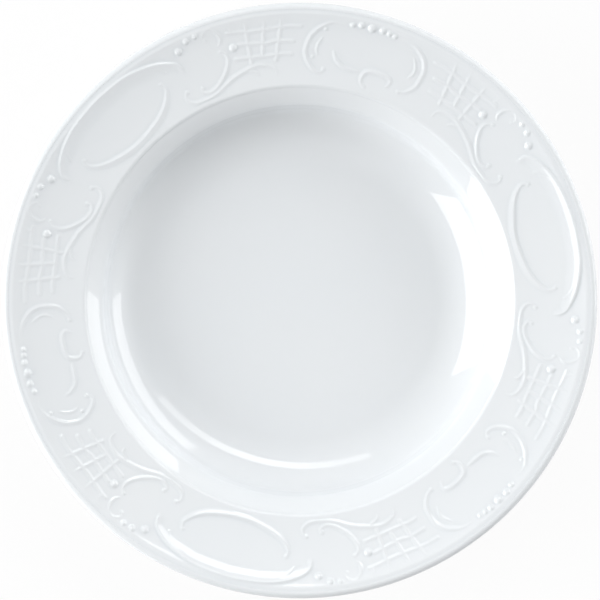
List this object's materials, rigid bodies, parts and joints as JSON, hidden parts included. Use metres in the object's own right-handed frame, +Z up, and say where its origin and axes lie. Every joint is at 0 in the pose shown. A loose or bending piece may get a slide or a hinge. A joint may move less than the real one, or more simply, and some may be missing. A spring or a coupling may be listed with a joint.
{
  "type": "rimmed soup plate",
  "caption": "White glazed porcelain soup plate with a deep round well, a sloping rim with low scroll, trellis and pearl relief, and a bare foot ring.",
  "frame": {"origin": "middle of the foot ring's bearing plane, on the plate's axis", "axes": "+Z up out of the well; +X and +Y in the plane of the table, with an oval of the relief at 15 degrees from +X towards +Y"},
  "size_m": [0.23, 0.23, 0.0375],
  "materials": {
    "biscuit": "bare fired porcelain, matt and smooth",
    "glaze": "clear feldspathic glaze over white porcelain, glossy"
  },
  "bodies": {
    "root": {"porcelain_body": "biscuit", "outer_glaze": "glaze", "recess_glaze": "glaze", "oval_frames": "glaze", "kidney_frames": "glaze", "side_scrolls": "glaze", "trellis_fans": "glaze", "pearls": "glaze"}
  },
  "joints": []
}
